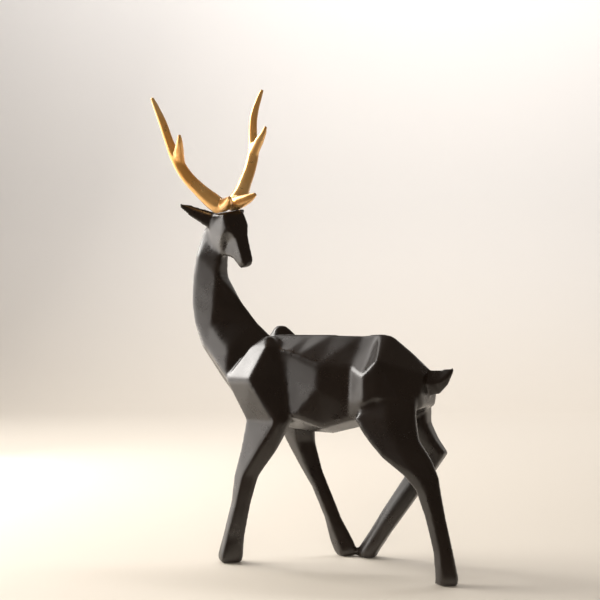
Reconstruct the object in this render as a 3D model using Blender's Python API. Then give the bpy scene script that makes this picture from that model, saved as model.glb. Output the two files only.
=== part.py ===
# Faceted standing deer figurine with two metallic antlers, turned to look back over its left shoulder.
# The deer faces -X, its left side faces -Y and its hooves stand on z = 0. Run it in Blender 4.5.
import bpy
import bmesh
from mathutils import Matrix, Vector
from math import cos, radians, sin

# Driving sizes, in metres
figureHeight = 0.392        # hooves to the higher antler tip
seatGap = 0.0003            # between an antler and the crown, and between the two antlers
antlerSides = 12

# The figure's proportions are kept on a canon of 490 units from the hooves to the antler tips.
unit = figureHeight / 490

# Head: place of the middle of the crown, and the direction in which it looks, seen from above
crownX = -125
crownY = -12
crownHeight = 357
headTurn = radians(150)     # turned from the body's forward direction over the left shoulder
headTilt = radians(11)      # leant over towards the right ear
headForward = Vector((-cos(headTurn), -sin(headTurn), 0))
headLevel = Vector((headForward.y, -headForward.x, 0))
headRight = headLevel * cos(headTilt) - Vector((0, 0, sin(headTilt)))
headUp = headLevel * sin(headTilt) + Vector((0, 0, cos(headTilt)))

# Trunk sections from chest to rump: place along the body, top of the back, then how far out and how high
# the upper, middle and lower corners stand, and the height of the belly line
trunkSections = [
    (-98, 222, (16, 212), (24, 184), (17, 154), 144),
    (-72, 231, (25, 216), (30, 184), (27, 148), 136),
    (-48, 230, (29, 213), (31.4, 184), (34, 151), 132),
    (-36, 230, (32, 209), (34.4, 178), (36.5, 148), 131),
    (-10, 230, (38, 200), (40, 176), (30, 138), 130),
    (21, 229, (33, 199), (36, 165), (33, 147), 138),
    (39, 231, (46, 190), (46, 165), (28, 148), 142),
    (52, 229, (45, 204), (46, 172), (26, 149), 144),
    (72, 213, (34, 198), (42, 168), (30, 150), 153),
    (90, 196, (15, 191), (26, 174), (20, 160), 161),
]

# Neck sections from the chest up to the skull: height, middle across the body, then how far along the body
# and how far out the front face, the bevel beside it and the crease of the side stand, and the back edge
neckSections = [
    (142, 0, (-101, 6), (-96, 12), (-88, 18), -45),
    (162, 0, (-116, 6), (-110, 13), (-104, 23), -45),
    (184, 0, (-135, 6), (-125, 14), (-119, 26), -50),
    (217, 0, (-160, 5), (-152, 12), (-118, 22), -69.5),
    (242, 0, (-168.5, 6.5), (-165, 9), (-144, 13.5), -97),
    (264, 0, (-172, 6), (-168.5, 8.5), (-140, 14.2), -115.5),
    (291, -2, (-170, 5), (-166, 7.8), (-135.5, 13), -135.5),
    (314, -4, (-166, 3.5), (-161, 6.5), (-132, 8.5), -132),
    (328, -1, (-163, 3), (-154.5, 5), (-134, 7), -130),
    (340, 0, (-160, 3), (-151, 5), (-134, 7), -130),
    (348, 0, (-152, 3), (-147, 4), (-138, 6), -131),
]

neckBackShare = 0.2         # half width of the neck's back face, as a share of the crease's

# Leg sections from the sole up to the shoulder or hip: height, front, crease of the outer side and back
# along the body, middle across the body, half width, and the front face's width as a share of the leg's
nearForeLeg = [
    (0, -118.3, -109, -95, -39, 12, 0.15),
    (5, -121.2, -110, -93, -39, 13, 0.15),
    (26, -115.4, -106, -91, -39, 9, 0.15),
    (61, -106.4, -96.5, -84, -38, 8, 0.15),
    (88, -103.4, -89.5, -76, -37, 9, 0.15),
    (113, -97.2, -73.5, -58, -35, 11, 0.15),
    (143, -92.9, -52.6, -44, -30, 16, 0.15),
    (184, -118.7, -83, -50, -26, 18, 0.15),
    (217, -93.2, -69, -60, -22, 12, 0.15),
    (228, -79.6, -75, -70, -16, 6, 0.15),
]
farForeLeg = [
    (0, -24.3, -14, -4, 40, 10, 0.15),
    (5, -27.2, -14, -3, 40, 11, 0.15),
    (14, -31.3, -18, -4, 40, 10, 0.15),
    (38, -37.4, -28, -18, 39, 9, 0.15),
    (69, -51.4, -42, -31, 38, 8, 0.15),
    (88, -63.4, -52, -39, 37, 9, 0.15),
    (117, -79.2, -62, -46, 34, 12, 0.15),
    (143, -89, -60, -44, 28, 14, 0.15),
    (184, -110.9, -83, -48, 26, 16, 0.15),
    (222, -97, -80, -54, 20, 14, 0.15),
    (239, -83.6, -79, -72, 18, 6, 0.15),
]
nearHindLeg = [
    (0, 108.6, 118, 131, -43, 9, 0.15),
    (5, 109.7, 119, 132, -43, 10, 0.15),
    (29, 107.6, 117, 127, -43, 8, 0.15),
    (60, 99.5, 110, 120, -43, 7, 0.15),
    (85, 90.9, 104, 115, -43, 8, 0.25),
    (98, 80.1, 98, 113, -43, 9, 0.5),
    (114, 58.6, 84, 105, -41, 11, 0.7),
    (131, 42.2, 74, 92, -38, 12, 0.75),
    (149, 28.8, 64, 88, -34, 13, 0.8),
    (172, 48.1, 62, 86, -29, 11, 0.8),
    (182, 60.6, 64, 76, -24, 7, 0.8),
]
farHindLeg = [
    (0, -1.4, 8, 18.3, 42, 9, 0.15),
    (5, -3.3, 8, 20.3, 42, 10, 0.15),
    (27, 11.6, 22, 35.3, 42, 8, 0.15),
    (53, 27.6, 40, 54.3, 42, 8, 0.15),
    (84, 48.6, 62, 76.3, 42, 9, 0.15),
    (97, 56.6, 72, 85.3, 42, 9, 0.15),
    (111, 60.7, 78, 95, 41, 10, 0.15),
    (126, 50.8, 70, 85, 38, 12, 0.15),
    (141, 34.9, 60, 79, 34, 13, 0.15),
    (172, 44.8, 60, 81, 29, 11, 0.15),
    (182, 58.5, 64, 74, 24, 7, 0.15),
]

# Tail sections from the rump to the tip: place along the body, bottom, top, half width
tailSections = [
    (80, 175, 197, 11),
    (92, 170, 196, 10),
    (101, 172, 196, 8),
    (109, 181, 197.5, 5),
    (114.5, 193.5, 198.5, 1.4),
]

# Head sections from the nape to the nose. Each corner is forward of the crown and below its top,
# with its half width: top, side and bottom. A fourth corner is the left one of the top, where it differs.
headSections = [
    ((-26, 1, 7), (-29, -14, 13), (-28, -27, 15)),
    ((-16, 0, 12), (-14, -12, 14.6), (-18, -35, 14)),
    ((12, 0, 12), (7.5, -23.2, 15.5), (-5.3, -44, 12)),
    ((15.3, -17, 12), (1.3, -31.3, 10), (4.9, -46.9, 10.2), (17, -17, 13)),
    ((21.5, -28, 7.4), (10.4, -28, 8.8), (9.9, -49.4, 9.2)),
    ((25, -53, 6.5), (19.4, -55.5, 6.9), (13.9, -58, 7)),
    ((23.5, -58, 5.5), (20, -59, 6), (16, -60.5, 5.5)),
]

# Ear sections from the skull to the tip, on the right ear: forward, outward, top, bottom, half thickness
earSections = [
    (-12, 7, 3, -17, 8),
    (-18, 14, 7, -17, 8),
    (-25, 29, 14, -2, 5),
    (-28, 38.5, 17, 11.5, 1.6),
]

leftEarDroop = 0.4          # how far the left ear hangs below the right one's line, per unit outward

# Antler branches of the right antler, from root to tip. Each point is forward, outward and above the
# crown, with the branch's radius there.
beamPath = [
    (0, 5, 4, 9),
    (1, 16, 13, 8.8),
    (-2, 28, 27, 7.2),
    (-4, 39.5, 43, 6.5),
    (-4, 47, 60, 6.2),
    (-6, 50.5, 76, 4.8),
    (-5, 55, 96, 4.4),
    (-1, 62, 113, 3.2),
    (2, 66.5, 122, 1.3),
]
tinePath = [
    (-2, 45, 57, 5.6),
    (7, 48.5, 68, 5),
    (14, 50.5, 75, 3.4),
    (18.5, 52, 81.5, 1.2),
]
browPath = [
    (-2, 7, 7, 7.5),
    (13, 9, 8, 7),
    (25, 12.5, 10, 5),
    (34, 16, 13, 1.3),
]


def clearScene():
    for item in list(bpy.data.objects):
        bpy.data.objects.remove(item, do_unlink=True)


def makeMaterial(name, colour, roughness, metallic):
    material = bpy.data.materials.new(name)
    material.use_nodes = True
    shader = material.node_tree.nodes["Principled BSDF"]
    shader.inputs["Base Color"].default_value = (*colour, 1)
    shader.inputs["Roughness"].default_value = roughness
    shader.inputs["Metallic"].default_value = metallic
    return material


def makeLoft(name, rings, collection):
    """Closed facets between rings of like corners. Each four-sided patch is creased where it stands out."""
    mesh = bpy.data.meshes.new(name)
    shape = bmesh.new()
    rows = [[shape.verts.new(corner * unit) for corner in ring] for ring in rings]
    count = len(rings[0])
    for lower, upper in zip(rows, rows[1:]):
        middle = sum((vert.co for vert in lower + upper), Vector()) / (2 * count)
        for index in range(count):
            after = (index + 1) % count
            quad = [lower[index], lower[after], upper[after], upper[index]]
            rising = ((quad[0].co + quad[2].co) / 2 - middle).length
            falling = ((quad[1].co + quad[3].co) / 2 - middle).length
            if falling > rising:
                quad = quad[1:] + quad[:1]
            shape.faces.new((quad[0], quad[1], quad[2]))
            shape.faces.new((quad[0], quad[2], quad[3]))
    shape.faces.new(list(reversed(rows[0])))
    shape.faces.new(rows[-1])
    bmesh.ops.recalc_face_normals(shape, faces=shape.faces)
    shape.to_mesh(mesh)
    shape.free()
    item = bpy.data.objects.new(name, mesh)
    collection.objects.link(item)
    return item


def trunkRings():
    rings = []
    for along, top, upper, middle, lower, bottom in trunkSections:
        near = [Vector((along, -out, height)) for out, height in (upper, middle, lower)]
        far = [Vector((along, out, height)) for out, height in (lower, middle, upper)]
        rings.append([Vector((along, 0, top))] + near + [Vector((along, 0, bottom))] + far)
    return rings


def neckRings():
    rings = []
    for height, middle, front, bevel, crease, back in neckSections:
        near = [Vector((along, middle - out, height)) for along, out in (front, bevel, crease)]
        far = [Vector((along, middle + out, height)) for along, out in (crease, bevel, front)]
        blunt = crease[1] * neckBackShare
        rings.append(near + [Vector((back, middle - blunt, height)), Vector((back, middle + blunt, height))] + far)
    return rings


def legRings(sections, blunt):
    """Six-cornered leg: two corners in front, a crease on each side and two corners at the back."""
    rings = []
    for height, front, crease, back, middle, half, share in sections:
        near = [(front, share), (crease, 1), (back, blunt)]
        rings.append(
            [Vector((along, middle - half * out, height)) for along, out in near]
            + [Vector((along, middle + half * out, height)) for along, out in reversed(near)]
        )
    return rings


def tailRings():
    rings = []
    for along, bottom, top, half in tailSections:
        middle = (bottom + top) / 2
        rings.append([
            Vector((along, 0, top)),
            Vector((along, -half, middle)),
            Vector((along, 0, bottom)),
            Vector((along, half, middle)),
        ])
    return rings


def onHead(forward, right, rise):
    crown = Vector((crownX, crownY, crownHeight))
    return crown + headForward * forward + headRight * right + headUp * rise


def headRings():
    rings = []
    for top, side, bottom, *leftTop in headSections:
        right = [onHead(forward, half, drop) for forward, drop, half in (top, side, bottom)]
        left = [onHead(forward, -half, drop) for forward, drop, half in (bottom, side, *(leftTop or [top]))]
        rings.append(right + left)
    return rings


def earRings(hand, droop):
    rings = []
    for forward, outward, top, bottom, half in earSections:
        top -= droop * outward
        bottom -= droop * outward
        middle = (top + bottom) / 2
        rings.append([
            onHead(forward, hand * outward, top),
            onHead(forward + half, hand * (outward - half * 0.5), middle + 1),
            onHead(forward, hand * outward, bottom),
            onHead(forward - half, hand * (outward - half * 0.5), middle),
        ])
    return rings


def joinInto(base, others, operation):
    for other in others:
        step = base.modifiers.new(other.name, "BOOLEAN")
        step.operation = operation
        step.solver = "EXACT"
        step.object = other


def bakeModifiers(item):
    view = bpy.context.evaluated_depsgraph_get()
    mesh = bpy.data.meshes.new_from_object(item.evaluated_get(view))
    item.modifiers.clear()
    item.data = mesh


def makeBody(collection, cutters, material):
    body = makeLoft("deer_body", trunkRings(), collection)
    pieces = [
        makeLoft("neck_form", neckRings(), cutters),
        makeLoft("head_form", headRings(), cutters),
        makeLoft("ear_form_right", earRings(1, 0), cutters),
        makeLoft("ear_form_left", earRings(-1, leftEarDroop), cutters),
        makeLoft("tail_form", tailRings(), cutters),
        makeLoft("fore_leg_form_near", legRings(nearForeLeg, 0.25), cutters),
        makeLoft("fore_leg_form_far", legRings(farForeLeg, 0.25), cutters),
        makeLoft("hind_leg_form_near", legRings(nearHindLeg, 0.4), cutters),
        makeLoft("hind_leg_form_far", legRings(farHindLeg, 0.85), cutters),
    ]
    joinInto(body, pieces, "UNION")
    bakeModifiers(body)
    body.data.materials.clear()
    body.data.materials.append(material)
    return body


def makeBranch(name, path, hand, collection):
    curve = bpy.data.curves.new(name, "CURVE")
    curve.dimensions = "3D"
    curve.bevel_depth = unit
    curve.bevel_resolution = antlerSides // 4 - 1
    curve.resolution_u = 4
    curve.use_fill_caps = True
    spline = curve.splines.new("BEZIER")
    spline.bezier_points.add(len(path) - 1)
    for point, (forward, outward, rise, radius) in zip(spline.bezier_points, path):
        point.co = onHead(forward, hand * outward, rise) * unit
        point.radius = radius
        point.handle_left_type = "AUTO"
        point.handle_right_type = "AUTO"
    item = bpy.data.objects.new(name, curve)
    collection.objects.link(item)
    view = bpy.context.evaluated_depsgraph_get()
    mesh = bpy.data.meshes.new_from_object(item.evaluated_get(view))
    bpy.data.objects.remove(item, do_unlink=True)
    solid = bpy.data.objects.new(name, mesh)
    collection.objects.link(solid)
    return solid


def makeBlock(name, middle, size, collection):
    """A block set square to the head, for a cut along the crown or between the antlers."""
    bpy.ops.mesh.primitive_cube_add(size=1)
    block = bpy.context.object
    block.name = name
    turn = Matrix((headForward, headRight, headUp)).transposed()
    block.matrix_world = Matrix.Translation(middle) @ turn.to_4x4() @ Matrix.Diagonal((*size, 1))
    for owner in list(block.users_collection):
        owner.objects.unlink(block)
    collection.objects.link(block)
    return block


def makeAntler(name, hand, collection, cutters, material):
    beam = makeBranch(name, beamPath, hand, collection)
    tine = makeBranch(name + "_tine_form", tinePath, hand, cutters)
    brow = makeBranch(name + "_brow_form", browPath, hand, cutters)
    depth = 40 * unit
    length = 200 * unit
    crown = onHead(0, 0, 0) * unit
    below = crown + headUp * (seatGap - depth / 2)
    beside = crown + headRight * hand * (seatGap / 2 - depth / 2)
    foot = makeBlock(name + "_foot_cut", below, (length, length, depth), cutters)
    seam = makeBlock(name + "_seam_cut", beside, (length, depth, length), cutters)
    joinInto(beam, [tine, brow], "UNION")
    joinInto(beam, [foot, seam], "DIFFERENCE")
    bakeModifiers(beam)
    beam.data.materials.clear()
    beam.data.materials.append(material)
    return beam


def centreOnFeet(items, parent):
    """Put the middle of the whole figure's box over the origin, with the soles on z = 0."""
    corners = [item.matrix_world @ vert.co for item in items for vert in item.data.vertices]
    low = [min(corner[axis] for corner in corners) for axis in range(3)]
    high = [max(corner[axis] for corner in corners) for axis in range(3)]
    parent.location = (-(low[0] + high[0]) / 2, -(low[1] + high[1]) / 2, -low[2])
    for item in items:
        item.parent = parent


def main():
    clearScene()
    scene = bpy.context.scene.collection
    figure = bpy.data.collections.new("deer_figurine")
    cutters = bpy.data.collections.new("deer_figurine_cutters")
    scene.children.link(figure)
    scene.children.link(cutters)
    black = makeMaterial("satin_black_paint", (0.012, 0.011, 0.010), 0.38, 0.0)
    gold = makeMaterial("gold_paint", (0.62, 0.36, 0.12), 0.30, 1.0)
    items = [
        makeBody(figure, cutters, black),
        makeAntler("antler_right", 1, figure, cutters, gold),
        makeAntler("antler_left", -1, figure, cutters, gold),
    ]
    for cutter in cutters.objects:
        cutter.hide_render = True
        cutter.display_type = "WIRE"
    parent = bpy.data.objects.new("deer_figurine_origin", None)
    figure.objects.link(parent)
    centreOnFeet(items, parent)
    bpy.context.view_layer.update()


main()
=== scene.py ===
# Faceted deer figurine with rounded facet edges: satin black body and two metallic gold antlers.
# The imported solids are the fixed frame, and each piece made here stands for one of them.
import bpy
import bmesh
import numpy as np
from math import cos, radians, sin
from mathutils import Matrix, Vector


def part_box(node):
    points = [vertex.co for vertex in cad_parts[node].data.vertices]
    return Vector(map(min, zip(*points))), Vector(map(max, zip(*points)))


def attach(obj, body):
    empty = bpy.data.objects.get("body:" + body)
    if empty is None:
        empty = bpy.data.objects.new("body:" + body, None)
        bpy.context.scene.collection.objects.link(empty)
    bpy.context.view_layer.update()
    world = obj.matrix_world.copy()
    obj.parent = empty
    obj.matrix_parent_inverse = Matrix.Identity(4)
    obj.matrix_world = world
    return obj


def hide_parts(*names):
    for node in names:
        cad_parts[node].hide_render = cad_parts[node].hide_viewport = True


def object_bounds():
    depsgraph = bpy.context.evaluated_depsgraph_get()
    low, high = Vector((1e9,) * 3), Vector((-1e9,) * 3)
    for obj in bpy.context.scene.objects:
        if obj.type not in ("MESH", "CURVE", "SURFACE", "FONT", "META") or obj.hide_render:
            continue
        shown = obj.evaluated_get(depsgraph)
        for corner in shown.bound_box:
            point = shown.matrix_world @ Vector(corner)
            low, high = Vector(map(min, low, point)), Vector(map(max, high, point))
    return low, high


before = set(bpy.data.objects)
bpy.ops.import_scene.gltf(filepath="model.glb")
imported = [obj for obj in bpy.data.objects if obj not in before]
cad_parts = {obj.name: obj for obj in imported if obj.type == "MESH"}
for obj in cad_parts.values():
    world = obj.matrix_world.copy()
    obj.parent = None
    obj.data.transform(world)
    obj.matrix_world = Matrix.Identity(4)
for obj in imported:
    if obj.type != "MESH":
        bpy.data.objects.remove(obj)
cadLow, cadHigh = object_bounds()

# The figure's canon, as in its solids: places on it are in units, and scale with the whole height
canonHeight = 490      # units from the soles to the higher antler tip
canonFront = 172       # from the body's foremost point back to the canon's origin
canonRight = 52        # from the body's right side in to the canon's origin
unit = (cadHigh.z - cadLow.z) / canonHeight
bodyLow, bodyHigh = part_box("deer_body")
canonOrigin = Vector((bodyLow[0] + canonFront * unit, bodyHigh[1] - canonRight * unit, 0))

# The head looks back over the left shoulder and leans a little to its right
headTurn = radians(150)
headTilt = radians(11)
crownPlace = Vector((-125, -12, 357))
headForward = Vector((-cos(headTurn), -sin(headTurn), 0))
headLevel = Vector((headForward.y, -headForward.x, 0))
headRight = headLevel * cos(headTilt) - Vector((0, 0, sin(headTilt)))
headUp = headLevel * sin(headTilt) + Vector((0, 0, cos(headTilt)))


def onCanon(along, across, rise):
    return canonOrigin + Vector((along, across, rise)) * unit


def onHead(forward, right, rise):
    place = crownPlace + headForward * forward + headRight * right + headUp * rise
    return canonOrigin + place * unit


def addObject(name, data):
    item = bpy.data.objects.new(name, data)
    bpy.context.scene.collection.objects.link(item)
    return item


# Camera at the photograph's angle, level, with its horizon at the height of the back
cameraSettings = {
    "place": (0.3425, -0.7661, 0.1832),
    "turn": 25,            # degrees round to the figure's rear
    "lens": 63.48,         # millimetres, as is the sensor's width
    "sensor": 36,
    "rise": 0.0583,        # shift that keeps the uprights straight
}


def makeCamera(settings):
    lens = bpy.data.cameras.new("studioCamera")
    lens.lens = settings["lens"]
    lens.sensor_width = settings["sensor"]
    lens.shift_y = settings["rise"]
    camera = addObject("studioCamera", lens)
    camera.location = settings["place"]
    camera.rotation_euler = (radians(90), 0, radians(settings["turn"]))
    bpy.context.scene.camera = camera


makeCamera(cameraSettings)
print("camera set")


# Small helpers for node trees
mixSockets = {"first": 6, "second": 7, "result": 2}      # a mix node's sockets for colours


def addNode(tree, kind, **settings):
    node = tree.nodes.new(kind)
    for name, value in settings.items():
        setattr(node, name, value)
    return node


def addNoise(tree, vector, scale, detail, roughness):
    noise = addNode(tree, "ShaderNodeTexNoise")
    noise.inputs["Scale"].default_value = scale
    noise.inputs["Detail"].default_value = detail
    noise.inputs["Roughness"].default_value = roughness
    tree.links.new(vector, noise.inputs["Vector"])
    return noise.outputs["Fac"]


# Stretches one span of values over another, and holds what lies outside at its ends
def addRange(tree, value, span, target=(0, 1)):
    node = addNode(tree, "ShaderNodeMapRange", clamp=True)
    for name, number in zip(("From Min", "From Max", "To Min", "To Max"), (*span, *target)):
        node.inputs[name].default_value = number
    tree.links.new(value, node.inputs["Value"])
    return node.outputs["Result"]


def addMix(tree, factor, first, second):
    node = addNode(tree, "ShaderNodeMix", data_type="RGBA", clamp_factor=True)
    tree.links.new(factor, node.inputs["Factor"])
    for name, colour in (("first", first), ("second", second)):
        socket = node.inputs[mixSockets[name]]
        if isinstance(colour, tuple):
            socket.default_value = (*colour, 1)
        else:
            tree.links.new(colour, socket)
    return node.outputs[mixSockets["result"]]


def addProduct(tree, first, second):
    node = addNode(tree, "ShaderNodeMath", operation="MULTIPLY")
    tree.links.new(first, node.inputs[0])
    tree.links.new(second, node.inputs[1])
    return node.outputs["Value"]


def startMaterial(name):
    material = bpy.data.materials.new(name)
    material.use_nodes = True
    tree = material.node_tree
    shader = tree.nodes["Principled BSDF"]
    place = addNode(tree, "ShaderNodeTexCoord").outputs["Object"]
    return material, tree, shader, place


# Two tones of a paint in broad clouds
def addTones(tree, place, settings):
    cloud = addRange(tree, addNoise(tree, place, *settings["cloud"]), settings["cloudSpan"])
    return addMix(tree, cloud, *settings["tones"])


# Smudges in the gloss, and the fine skin of a sprayed coat
def addFinish(tree, shader, place, settings):
    smudge = addNoise(tree, place, *settings["smudge"])
    roughness = addRange(tree, smudge, settings["smudgeSpan"], settings["roughness"])
    tree.links.new(roughness, shader.inputs["Roughness"])
    bump = addNode(tree, "ShaderNodeBump")
    bump.inputs["Strength"].default_value = settings["skinStrength"]
    bump.inputs["Distance"].default_value = settings["skinHeight"]
    tree.links.new(addNoise(tree, place, *settings["skin"]), bump.inputs["Height"])
    tree.links.new(bump.outputs["Normal"], shader.inputs["Normal"])


# Each noise is given by its scale, detail and roughness, and each span by its low and high end
blackPaint = {
    "tones": ((0.0085, 0.0046, 0.0025), (0.0140, 0.0082, 0.0050)),
    "worn": (0.034, 0.025, 0.019),       # edges, where handling has polished the coat
    "cloud": (18, 3, 0.5),
    "cloudSpan": (0.35, 0.65),
    "scuff": (220, 4, 0.7),              # breaks the worn edges up
    "scuffSpan": (0.42, 0.68),
    "wearSpan": (0.35, 1),
    "wearShare": (0, 0.55),
    "smudge": (60, 5, 0.65),
    "smudgeSpan": (0.3, 0.7),
    "roughness": (0.25, 0.35),
    "specular": 0.8,
    "skin": (900, 2, 0.5),
    "skinStrength": 0.25,
    "skinHeight": 0.00004,               # metres
}


def makeBlackPaint(settings):
    material, tree, shader, place = startMaterial("satinBlackPaint")
    edge = addNode(tree, "ShaderNodeAttribute", attribute_name="edgeWear").outputs["Fac"]
    scuff = addRange(tree, addNoise(tree, place, *settings["scuff"]), settings["scuffSpan"])
    wear = addProduct(tree, addRange(tree, edge, settings["wearSpan"], settings["wearShare"]), scuff)
    colour = addMix(tree, wear, addTones(tree, place, settings), settings["worn"])
    tree.links.new(colour, shader.inputs["Base Color"])
    shader.inputs["Specular IOR Level"].default_value = settings["specular"]
    addFinish(tree, shader, place, settings)
    return material


goldPaint = {
    "tones": ((0.92, 0.44, 0.11), (1.0, 0.61, 0.23)),
    "paintedForkShade": (0.40, 0.15, 0.04),        # painted shade in the forks, darker where the branches meet
    "cloud": (30, 3, 0.5),
    "cloudSpan": (0.35, 0.65),
    "paintedForkShadeSpan": (0.2, 1),
    "paintedForkShadeShare": (0, 0.7),
    "smudge": (110, 5, 0.6),
    "smudgeSpan": (0.3, 0.7),
    "roughness": (0.26, 0.36),
    "metal": 0.65,                       # share of the paint that is metal flake
    "lacquer": 0.8,
    "lacquerRoughness": 0.12,
    "skin": (1600, 2, 0.5),
    "skinStrength": 0.12,
    "skinHeight": 0.00003,               # metres
}


def makeGoldPaint(settings):
    material, tree, shader, place = startMaterial("metallicGoldPaint")
    paintedForkShade = addNode(tree, "ShaderNodeAttribute", attribute_name="paintedForkShade").outputs["Fac"]
    paintedShade = addRange(tree, paintedForkShade, settings["paintedForkShadeSpan"], settings["paintedForkShadeShare"])
    # Painted shade: the forks, where the smoothing filled out most, are painted darker
    colour = addMix(tree, paintedShade, addTones(tree, place, settings), settings["paintedForkShade"])
    tree.links.new(colour, shader.inputs["Base Color"])
    shader.inputs["Metallic"].default_value = settings["metal"]
    shader.inputs["Coat Weight"].default_value = settings["lacquer"]
    shader.inputs["Coat Roughness"].default_value = settings["lacquerRoughness"]
    addFinish(tree, shader, place, settings)
    return material


satinBlack = makeBlackPaint(blackPaint)
metallicGold = makeGoldPaint(goldPaint)
print("paints mixed")


# Small helpers for meshes
smoothingPull = 0.5        # share of the way to its neighbours' middle that a point goes in one pass
weldDistance = 0.00001     # metres, joins a solid's loose triangles


def mergedCopy(node, name):
    item = addObject(name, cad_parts[node].data.copy())
    shape = bmesh.new()
    shape.from_mesh(item.data)
    bmesh.ops.remove_doubles(shape, verts=shape.verts, dist=weldDistance)
    shape.to_mesh(item.data)
    shape.free()
    return item


def evaluatedMesh(item):
    view = bpy.context.evaluated_depsgraph_get()
    return bpy.data.meshes.new_from_object(item.evaluated_get(view))


def bakeModifiers(item):
    mesh = evaluatedMesh(item)
    item.modifiers.clear()
    item.data = mesh


def addGrid(item, size):
    grid = item.modifiers.new("fine grid", "REMESH")
    grid.mode = "VOXEL"
    grid.voxel_size = size


def readRows(items, field, width, kind=float):
    flat = np.empty(len(items) * width, dtype=kind)
    items.foreach_get(field, flat)
    return flat.reshape(-1, width)


def readMesh(mesh):
    return readRows(mesh.vertices, "co", 3), readRows(mesh.edges, "vertices", 2, np.int32)


def writePoints(mesh, points):
    mesh.vertices.foreach_set("co", points.ravel())
    mesh.update()


# Each pass draws every point's values towards the middle of its neighbours' values
def smoothed(values, edges, weight, passes):
    count, width = values.shape
    neighbours = np.bincount(edges.ravel(), minlength=count)[:, None]
    for _ in range(passes):
        sums = np.stack([
            np.bincount(edges[:, 0], values[edges[:, 1], column], count)
            + np.bincount(edges[:, 1], values[edges[:, 0], column], count)
            for column in range(width)
        ], axis=1)
        values = values + weight * smoothingPull * (sums / neighbours - values)
    return values


# Keeps each moved point within a distance of where it was
def heldNear(before, after, most):
    length = np.linalg.norm(after - before, axis=1, keepdims=True)
    return before + (after - before) * np.minimum(1, most / np.maximum(length, most))


# One within half the reach of a place, falling to nothing at the reach, which is on the canon
def nearTo(points, places, reach):
    near = np.zeros(len(points))
    for place in places:
        distance = np.linalg.norm(points - np.array(place), axis=1)
        near = np.maximum(near, 1 - distance / (reach * unit))
    return np.clip(near * 2, 0, 1)[:, None]


# How far each point has moved along the skin's outward direction
def movedOut(mesh, before, after):
    return np.sum((after - before) * readRows(mesh.vertices, "normal", 3), axis=1)


# Keeps a smoothed depth on the points for the paint, as a share of the depth that counts in full
def writeShare(mesh, name, edges, depth, passes, fullDepth):
    every = np.ones((len(depth), 1))
    soft = smoothed(np.maximum(depth, 0)[:, None], edges, every, passes)[:, 0]
    share = mesh.attributes.new(name, "FLOAT", "POINT")
    share.data.foreach_set("value", np.clip(soft / fullDepth, 0, 1))


def paintMesh(mesh, paint):
    mesh.polygons.foreach_set("use_smooth", [True] * len(mesh.polygons))
    mesh.materials.clear()
    mesh.materials.append(paint)


# Body: the solid's facets, kept flat, with every edge between them rounded over
bodySettings = {
    "voxel": 0.00117,      # metres, which keeps the body under 200,000 triangles
    "passes": 15,          # smoothing passes over the facet edges
    "deepest": 0.0014,     # the furthest that they move a point, so that thin tips keep their reach
    "lastPasses": 3,
    "tips": [onHead(-28, 38.5, 14), onHead(-28, -38.5, -1),      # right and left ear
             onCanon(113, 0, 194), onCanon(101, 0, 184)],        # end and middle of the tail
    "tipReach": 24,        # how far round a tip the smoothing is held back, on the canon
    "tipHold": 0.8,        # share of the smoothing that is held back there
    "wearPasses": 2,
    "wearDepth": 0.0007,   # an edge rounded over by this much counts as fully worn
}


def makeBody(settings):
    solid = mergedCopy("deer_body", "deerBodyFacets")
    body = mergedCopy("deer_body", "deerBody")
    addGrid(body, settings["voxel"])
    wrap = body.modifiers.new("back onto the facets", "SHRINKWRAP")
    wrap.target = solid
    wrap.wrap_method = "NEAREST_SURFACEPOINT"
    bakeModifiers(body)
    bpy.data.objects.remove(solid, do_unlink=True)
    mesh = body.data
    sharp, edges = readMesh(mesh)
    free = 1 - settings["tipHold"] * nearTo(sharp, settings["tips"], settings["tipReach"])
    soft = smoothed(sharp, edges, free, settings["passes"])
    soft = heldNear(sharp, soft, settings["deepest"] * free)
    soft = smoothed(soft, edges, free, settings["lastPasses"])
    soft[:, 2] = np.maximum(soft[:, 2], 0)
    writePoints(mesh, soft)
    worn = -movedOut(mesh, sharp, soft)
    writeShare(mesh, "edgeWear", edges, worn, settings["wearPasses"], settings["wearDepth"])
    paintMesh(mesh, satinBlack)
    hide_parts("deer_body")
    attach(body, "root")
    return body


deerBody = makeBody(bodySettings)
print("body rounded:", len(deerBody.data.vertices), "points")


# Antlers: branches drawn as curves from the crown, made thick by a node tree, then grown into one skin
# Each point is forward of the crown, outward and above it, with the branch's radius, on the canon
antlerSettings = {
    "beam": [
        (0, 5, 4, 9), (1, 16, 13, 8.8), (-2, 28, 27, 7.2), (-4, 39.5, 43, 6.5), (-4, 47, 60, 6.2),
        (-6, 50.5, 76, 4.8), (-5, 55, 96, 4.4), (-1, 62, 113, 3.2), (2, 66.5, 122, 2.0),
    ],
    "tine": [(-2, 45, 57, 5.6), (7, 48.5, 68, 5), (14, 50.5, 75, 3.4), (18.5, 52, 81.5, 1.9)],
    "brow": [(-2, 7, 7, 7.5), (13, 9, 8, 7), (25, 12.5, 10, 5), (34, 16, 13, 2.2)],
    "sides": 40,
    "steps": 24,           # points along each stretch of a branch
    "voxel": 0.0005,       # metres
    "skinPasses": 20,      # smoothing passes over the whole skin
    "deepest": 0.0003,     # the furthest that they move a point, so that the tips keep their reach
    "lastPasses": 8,
    "forks": [(0, 46, 60), (7, 10, 9)],
    "forkReach": 11,       # how far round a fork the branches flow together, on the canon
    "forkPasses": 40,
    "forkShadePasses": 4,
    "forkShadeDepth": 0.0006, # a fork filled out by this much gets the full painted shade
    "seatGap": 0.0003,     # between an antler and the crown, and between the two antlers
}


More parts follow.
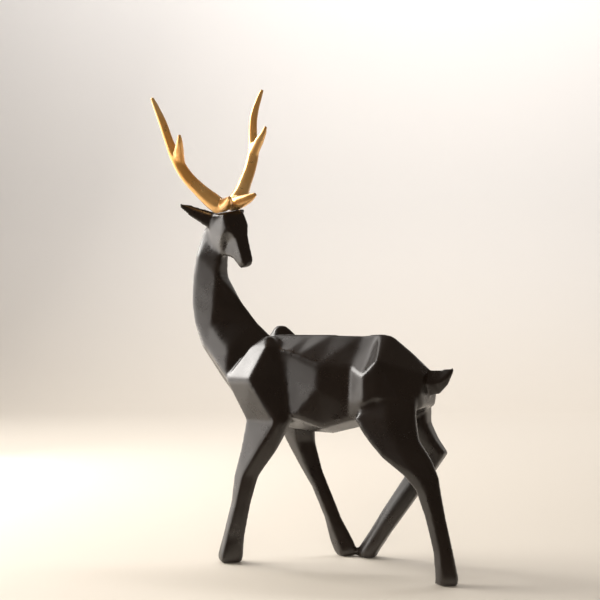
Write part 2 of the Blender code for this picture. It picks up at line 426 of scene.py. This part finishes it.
# Curve in, thick branches out, one round section along each curve
def makeBranchTree():
    tree = bpy.data.node_groups.new("antlerBranches", "GeometryNodeTree")
    inputs = {"Geometry": "Geometry", "Sides": "Int", "Unit": "Float", "Paint": "Material"}
    for name, kind in inputs.items():
        tree.interface.new_socket(name, in_out="INPUT", socket_type="NodeSocket" + kind)
    tree.interface.new_socket("Geometry", in_out="OUTPUT", socket_type="NodeSocketGeometry")
    source = addNode(tree, "NodeGroupInput")
    ring = addNode(tree, "GeometryNodeCurvePrimitiveCircle")
    radius = addNode(tree, "GeometryNodeInputRadius")
    skin = addNode(tree, "GeometryNodeCurveToMesh")
    realize = addNode(tree, "GeometryNodeRealizeInstances")
    paint = addNode(tree, "GeometryNodeSetMaterial")
    result = addNode(tree, "NodeGroupOutput")
    ring.inputs["Radius"].default_value = 1
    skin.inputs["Fill Caps"].default_value = True
    thickness = addProduct(tree, radius.outputs["Radius"], source.outputs["Unit"])
    links = tree.links
    links.new(source.outputs["Sides"], ring.inputs["Resolution"])
    links.new(source.outputs["Geometry"], skin.inputs["Curve"])
    links.new(ring.outputs["Curve"], skin.inputs["Profile Curve"])
    links.new(thickness, skin.inputs["Scale"])
    links.new(skin.outputs["Mesh"], realize.inputs["Geometry"])
    links.new(realize.outputs["Geometry"], paint.inputs["Geometry"])
    links.new(source.outputs["Paint"], paint.inputs["Material"])
    links.new(paint.outputs["Geometry"], result.inputs["Geometry"])
    return tree


branchTree = makeBranchTree()


def setInput(modifier, name, value):
    for socket in modifier.node_group.interface.items_tree:
        if socket.item_type == "SOCKET" and socket.in_out == "INPUT" and socket.name == name:
            modifier[socket.identifier] = value


def makeBranches(name, hand, settings):
    curve = bpy.data.curves.new(name, "CURVE")
    curve.dimensions = "3D"
    curve.resolution_u = settings["steps"]
    for path in (settings["beam"], settings["tine"], settings["brow"]):
        spline = curve.splines.new("BEZIER")
        spline.bezier_points.add(len(path) - 1)
        for point, (forward, outward, rise, radius) in zip(spline.bezier_points, path):
            point.co = onHead(forward, hand * outward, rise)
            point.radius = radius
            point.handle_left_type = "AUTO"
            point.handle_right_type = "AUTO"
    drawn = addObject(name + "Branches", curve)
    grow = drawn.modifiers.new("branches", "NODES")
    grow.node_group = branchTree
    setInput(grow, "Sides", settings["sides"])
    setInput(grow, "Unit", unit)
    setInput(grow, "Paint", metallicGold)
    mesh = evaluatedMesh(drawn)
    bpy.data.objects.remove(drawn, do_unlink=True)
    return mesh


# Cuts the mesh along a plane, drops what lies behind it and closes the cut
def cutFlat(mesh, place, away):
    shape = bmesh.new()
    shape.from_mesh(mesh)
    everything = shape.verts[:] + shape.edges[:] + shape.faces[:]
    bmesh.ops.bisect_plane(shape, geom=everything, plane_co=place, plane_no=away, clear_inner=True)
    rim = [edge for edge in shape.edges if edge.is_boundary]
    cap = bmesh.ops.contextual_create(shape, geom=rim)
    bmesh.ops.triangulate(shape, faces=cap["faces"])
    bmesh.ops.recalc_face_normals(shape, faces=shape.faces)
    shape.to_mesh(mesh)
    shape.free()


def makeAntler(name, node, hand, settings):
    antler = addObject(name, makeBranches(name, hand, settings))
    addGrid(antler, settings["voxel"])
    bakeModifiers(antler)
    mesh = antler.data
    grown, edges = readMesh(mesh)
    every = np.ones((len(grown), 1))
    even = smoothed(grown, edges, every, settings["skinPasses"])
    even = heldNear(grown, even, settings["deepest"])
    even = smoothed(even, edges, every, settings["lastPasses"])
    forks = [onHead(forward, hand * outward, rise) for forward, outward, rise in settings["forks"]]
    even = smoothed(even, edges, nearTo(even, forks, settings["forkReach"]), settings["forkPasses"])
    writePoints(mesh, even)
    # How far each fork filled out sets how much painted shade it gets
    filled = movedOut(mesh, grown, even)
    writeShare(mesh, "paintedForkShade", edges, filled, settings["forkShadePasses"], settings["forkShadeDepth"])
    crown = onHead(0, 0, 0)
    fromMiddle = headRight * hand
    cutFlat(mesh, crown + headUp * settings["seatGap"], headUp)
    cutFlat(mesh, crown + fromMiddle * settings["seatGap"] / 2, fromMiddle)
    paintMesh(mesh, metallicGold)
    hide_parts(node)
    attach(antler, "root")
    return antler


rightAntler = makeAntler("rightAntler", "antler_right", 1, antlerSettings)
leftAntler = makeAntler("leftAntler", "antler_left", -1, antlerSettings)
print("antlers grown:", len(rightAntler.data.vertices), "and", len(leftAntler.data.vertices), "points")


# Studio: pale floor running up into a pale wall, soft boxes at the left and above, a dim room in front
studioSettings = {
    "floorWidth": 8.0,
    "floorFront": 0.12,      # metres of floor in front of the figure
    "wallPlace": 2.2,        # metres behind the figure
    "wallHeight": 1.35,
    "bend": 0.6,             # radius of the sweep from floor to wall
    "bendSteps": 12,
    "floorPale": (0.74, 0.68, 0.59),
    "wallPale": (0.88, 0.86, 0.83),
    "roughness": 0.7,
    "roomColour": (0.085, 0.072, 0.060),
    "seenColour": (0.88, 0.86, 0.83),
}

# Soft boxes, of which those that aren't mirrored light the studio without showing in the paint
warmWhite = (1.0, 0.95, 0.90)
lightSettings = {
    "key": {"place": (-1.3, -0.08, 1.09), "aim": (0, -0.08, 0.63), "size": (1.05, 0.88),
            "power": 25, "colour": (1.0, 0.97, 0.93), "mirrored": True},
    "low": {"place": (-0.78, 0.02, 0.26), "aim": (0, 0.02, 0.26), "size": (0.86, 0.50),
            "power": 3.2, "colour": warmWhite, "mirrored": True},
    "lowSide": {"place": (-0.78, -0.60, 0.10), "aim": (0, -0.60, 0.10), "size": (0.38, 0.18),
                "power": 0.6, "colour": warmWhite, "mirrored": True},
    "beside": {"place": (-0.78, -0.70, 0.25), "aim": (0, -0.70, 0.25), "size": (0.13, 0.12),
               "power": 0.14, "colour": warmWhite, "mirrored": True},
    "head": {"place": (-0.77, 0, 0.42), "aim": (0, 0, 0.42), "size": (0.5, 0.18),
             "power": 0.6, "colour": warmWhite, "mirrored": True},
    "fill": {"place": (0.45, -0.95, 0.36), "aim": (0, 0, 0.30), "size": (0.5, 0.4),
             "power": 5.4, "colour": (1.0, 0.95, 0.88), "mirrored": False},
    "above": {"place": (-0.85, 0.3, 1.45), "aim": (0, 0, 0.2), "size": (0.8, 0.35),
              "power": 3.4, "colour": (1.0, 0.96, 0.92), "mirrored": True},
    "wall": {"place": (-0.1, 1.2, 2.3), "aim": (-0.35, 2.2, 0.5), "size": (2.6, 0.5),
             "power": 50, "colour": (0.99, 0.98, 1.0), "mirrored": False},
}


# Side view of the sweep: distance behind the figure and height
def sweepProfile(settings):
    bend = settings["bend"]
    bendStart = settings["wallPlace"] - bend
    profile = [(-settings["floorFront"], 0), (bendStart, 0)]
    for step in range(1, settings["bendSteps"] + 1):
        angle = radians(90) * step / settings["bendSteps"]
        profile.append((bendStart + bend * sin(angle), bend - bend * cos(angle)))
    profile.append((settings["wallPlace"], settings["wallHeight"]))
    return profile


# The floor's tone gives way to the wall's over the height of the bend
def makeStudioPaint(settings):
    material, tree, shader, place = startMaterial("paleStudioPaint")
    height = addNode(tree, "ShaderNodeSeparateXYZ")
    tree.links.new(place, height.inputs["Vector"])
    rise = addRange(tree, height.outputs["Z"], (0, settings["bend"]))
    colour = addMix(tree, rise, settings["floorPale"], settings["wallPale"])
    tree.links.new(colour, shader.inputs["Base Color"])
    shader.inputs["Roughness"].default_value = settings["roughness"]
    return material


# Floor and wall in one sheet, square to the camera
def makeSweep(settings):
    turn = radians(cameraSettings["turn"])
    away = Vector((-sin(turn), cos(turn), 0))
    side = Vector((cos(turn), sin(turn), 0)) * settings["floorWidth"] / 2
    mesh = bpy.data.meshes.new("studioSweep")
    shape = bmesh.new()
    rows = []
    for distance, height in sweepProfile(settings):
        middle = away * distance + Vector((0, 0, height))
        rows.append([shape.verts.new(middle - side), shape.verts.new(middle + side)])
    for lower, upper in zip(rows, rows[1:]):
        shape.faces.new((lower[0], lower[1], upper[1], upper[0]))
    shape.to_mesh(mesh)
    shape.free()
    paintMesh(mesh, makeStudioPaint(settings))
    sweep = addObject("studioSweep", mesh)


def makeLight(name, settings):
    light = bpy.data.lights.new(name, "AREA")
    light.shape = "RECTANGLE"
    light.size, light.size_y = settings["size"]
    light.energy = settings["power"]
    light.color = settings["colour"]
    lamp = addObject(name, light)
    lamp.location = settings["place"]
    toward = Vector(settings["aim"]) - Vector(settings["place"])
    lamp.rotation_euler = toward.to_track_quat("-Z", "Y").to_euler()
    lamp.visible_camera = False
    lamp.visible_glossy = settings["mirrored"]


# The room lights dimly, and shows pale where the camera sees past the sweep
def makeRoom(settings):
    world = bpy.data.worlds.new("studioRoom")
    bpy.context.scene.world = world
    world.use_nodes = True
    tree = world.node_tree
    room = tree.nodes["Background"]
    seen = addNode(tree, "ShaderNodeBackground")
    room.inputs["Color"].default_value = (*settings["roomColour"], 1)
    seen.inputs["Color"].default_value = (*settings["seenColour"], 1)
    mix = addNode(tree, "ShaderNodeMixShader")
    tree.links.new(addNode(tree, "ShaderNodeLightPath").outputs["Is Camera Ray"], mix.inputs["Fac"])
    tree.links.new(room.outputs["Background"], mix.inputs[1])
    tree.links.new(seen.outputs["Background"], mix.inputs[2])
    tree.links.new(mix.outputs["Shader"], tree.nodes["World Output"].inputs["Surface"])


makeSweep(studioSettings)
for lightName, lightValues in lightSettings.items():
    makeLight(lightName + "Light", lightValues)
makeRoom(studioSettings)
bpy.context.scene.view_settings.view_transform = "Standard"
print("studio lit")
